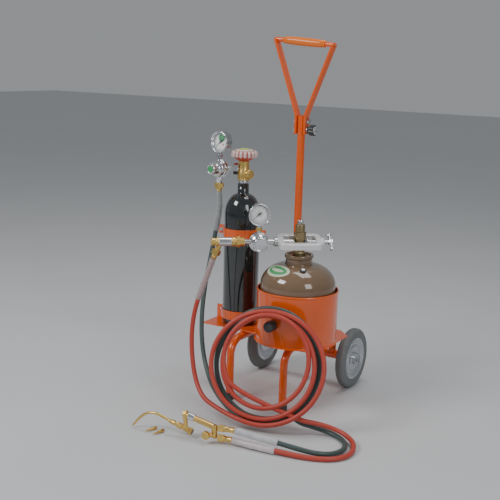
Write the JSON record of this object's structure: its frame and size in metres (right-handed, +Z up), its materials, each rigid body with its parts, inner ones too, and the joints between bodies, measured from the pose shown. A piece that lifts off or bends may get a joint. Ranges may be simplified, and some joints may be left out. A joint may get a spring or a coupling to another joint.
{
  "type": "oxy acetylene torch cart",
  "caption": "Portable welding and cutting cart: tubular frame on wheels and rubber feet carrying gas cylinders, regulators, coiled hose and a brass torch, with a folding handle.",
  "frame": {"origin": "on the floor, under the middle of the cart's bounding box without its hoses and torch", "axes": "+Z up, the axle runs along X, +Y to the wheels at the back, -Y to the feet and the hose coil at the front"},
  "size_m": [0.5945, 0.7118, 0.999],
  "materials": {
    "orange_paint": "gloss powder coat",
    "brown_paint": "gloss enamel",
    "black_paint": "gloss enamel",
    "chrome": "polished plate",
    "steel": "bright zinc plate",
    "zinc": "cast, bright zinc plate",
    "brass": "machined",
    "grey_rubber": "matt moulded rubber",
    "dark_rubber": "matt",
    "red_rubber": "satin",
    "clear_plastic": "clear flexible sleeve",
    "clear_glass": "clear lens",
    "dial_white": "printed card",
    "black_plastic": "moulded",
    "orange_plastic": "smooth moulded grip",
    "cylinder_filler": "porous mass"
  },
  "bodies": {
    "chassis": {"acetylene_collar": "brown_paint", "acetylene_cup": "orange_paint", "acetylene_cylinder": "brown_paint", "acetylene_filler": "cylinder_filler", "acetylene_gland_nut": "brass", "acetylene_outlet": "brass", "acetylene_regulator_body": "chrome", "acetylene_valve_body": "brass", "axle_retainers": "steel", "axle_rod": "steel", "axle_tube": "orange_paint", "base_plate": "orange_paint", "dark_hose_coil": "dark_rubber", "dark_hose_drop": "dark_rubber", "dark_hose_tail": "dark_rubber", "flashback_arrestor": "chrome", "foot_caps": "dark_rubber", "fusible_plug": "chrome", "gauge_cases": "chrome", "gauge_dials": "dial_white", "gauge_lenses": "clear_glass", "hook_cap": "dark_rubber", "hose_hook": "orange_paint", "hose_sleeves": "clear_plastic", "oxygen_cylinder": "black_paint", "oxygen_neck_ring": "steel", "oxygen_outlet": "brass", "oxygen_regulator_body": "chrome", "oxygen_straps": "orange_paint", "oxygen_upright": "orange_paint", "oxygen_valve_body": "brass", "pole": "orange_paint", "red_hose_coil": "red_rubber", "red_hose_drop": "red_rubber", "red_hose_tail": "red_rubber", "regulator_stems": "steel", "side_frames": "orange_paint", "spare_tips": "brass", "frame_bolts": "steel", "torch_body": "brass", "torch_hose_nuts": "brass", "torch_neck": "brass", "yoke": "zinc"},
    "left_wheel": {"left_tyre": "grey_rubber", "left_wheel_disc": "steel"},
    "right_wheel": {"right_tyre": "grey_rubber", "right_wheel_disc": "steel"},
    "handle": {"handle_frame": "orange_paint", "grip": "orange_plastic", "pivot_bolt": "steel"},
    "clamp_screw": {"clamp_knob": "black_plastic"},
    "oxygen_valve_wheel": {"oxygen_handwheel": "steel"},
    "acetylene_valve_spindle": {"acetylene_spindle": "steel"},
    "oxygen_adjuster": {"oxygen_adjusting_knob": "chrome"},
    "acetylene_adjuster": {"acetylene_adjusting_knob": "chrome"},
    "yoke_clamp": {"yoke_screw": "steel"},
    "acetylene_pointer": {"acetylene_needle": "black_plastic"},
    "oxygen_pointer": {"oxygen_needle": "black_plastic"},
    "torch_acetylene_valve": {"torch_acetylene_knob": "brass"},
    "torch_oxygen_valve": {"torch_oxygen_knob": "brass"}
  },
  "joints": [
    {"name": "left_wheel_spin", "type": "hinge", "parent": "chassis", "child": "left_wheel", "pos_m": [-0.127, 0.1401, 0.0875], "axis": [1, 0, 0], "continuous": true},
    {"name": "right_wheel_spin", "type": "hinge", "parent": "chassis", "child": "right_wheel", "pos_m": [0.169, 0.1401, 0.0875], "axis": [1, 0, 0], "continuous": true},
    {"name": "handle_fold", "type": "hinge", "parent": "chassis", "child": "handle", "pos_m": [0.021, 0.0501, 0.771], "axis": [1, 0, 0], "range_deg": [-120, 0]},
    {"name": "clamp_knob_turn", "type": "hinge", "parent": "chassis", "child": "clamp_screw", "pos_m": [0.021, 0.0501, 0.747], "axis": [1, 0, 0], "range_deg": [0, 720]},
    {"name": "oxygen_valve_turn", "type": "hinge", "parent": "chassis", "child": "oxygen_valve_wheel", "pos_m": [-0.116, -0.0269, 0.678], "axis": [0, 0, 1], "range_deg": [0, 720]},
    {"name": "acetylene_valve_turn", "type": "hinge", "parent": "chassis", "child": "acetylene_valve_spindle", "pos_m": [0.0937, -0.0688, 0.51], "axis": [0, 0, 1], "range_deg": [0, 360]},
    {"name": "oxygen_adjuster_turn", "type": "hinge", "parent": "chassis", "child": "oxygen_adjuster", "pos_m": [-0.17386, -0.06263, 0.632], "axis": [-0.1392, -0.9903, 0], "range_deg": [0, 720]},
    {"name": "acetylene_adjuster_turn", "type": "hinge", "parent": "chassis", "child": "acetylene_adjuster", "pos_m": [0.00666, -0.13928, 0.456], "axis": [0.6293, -0.7771, 0], "range_deg": [0, 720]},
    {"name": "yoke_screw_turn", "type": "hinge", "parent": "chassis", "child": "yoke_clamp", "pos_m": [0.0937, -0.0688, 0.456], "axis": [0.7771, 0.6293, 0], "range_deg": [-720, 0]},
    {"name": "acetylene_pointer_turn", "type": "hinge", "parent": "chassis", "child": "acetylene_pointer", "pos_m": [0.00666, -0.13928, 0.53], "axis": [0.6293, -0.7771, 0], "range_deg": [0, 270]},
    {"name": "oxygen_pointer_turn", "type": "hinge", "parent": "chassis", "child": "oxygen_pointer", "pos_m": [-0.17386, -0.06263, 0.706], "axis": [-0.1219, -0.9925, 0], "range_deg": [0, 270]},
    {"name": "torch_acetylene_turn", "type": "hinge", "parent": "chassis", "child": "torch_acetylene_valve", "pos_m": [0.05482, -0.44338, 0.022], "axis": [0.1736, -0.9848, 0], "range_deg": [0, 720]},
    {"name": "torch_oxygen_turn", "type": "hinge", "parent": "chassis", "child": "torch_oxygen_valve", "pos_m": [-0.00096, -0.44103, 0.01933], "axis": [0.9406, 0.1659, -0.2961], "range_deg": [0, 720]}
  ]
}
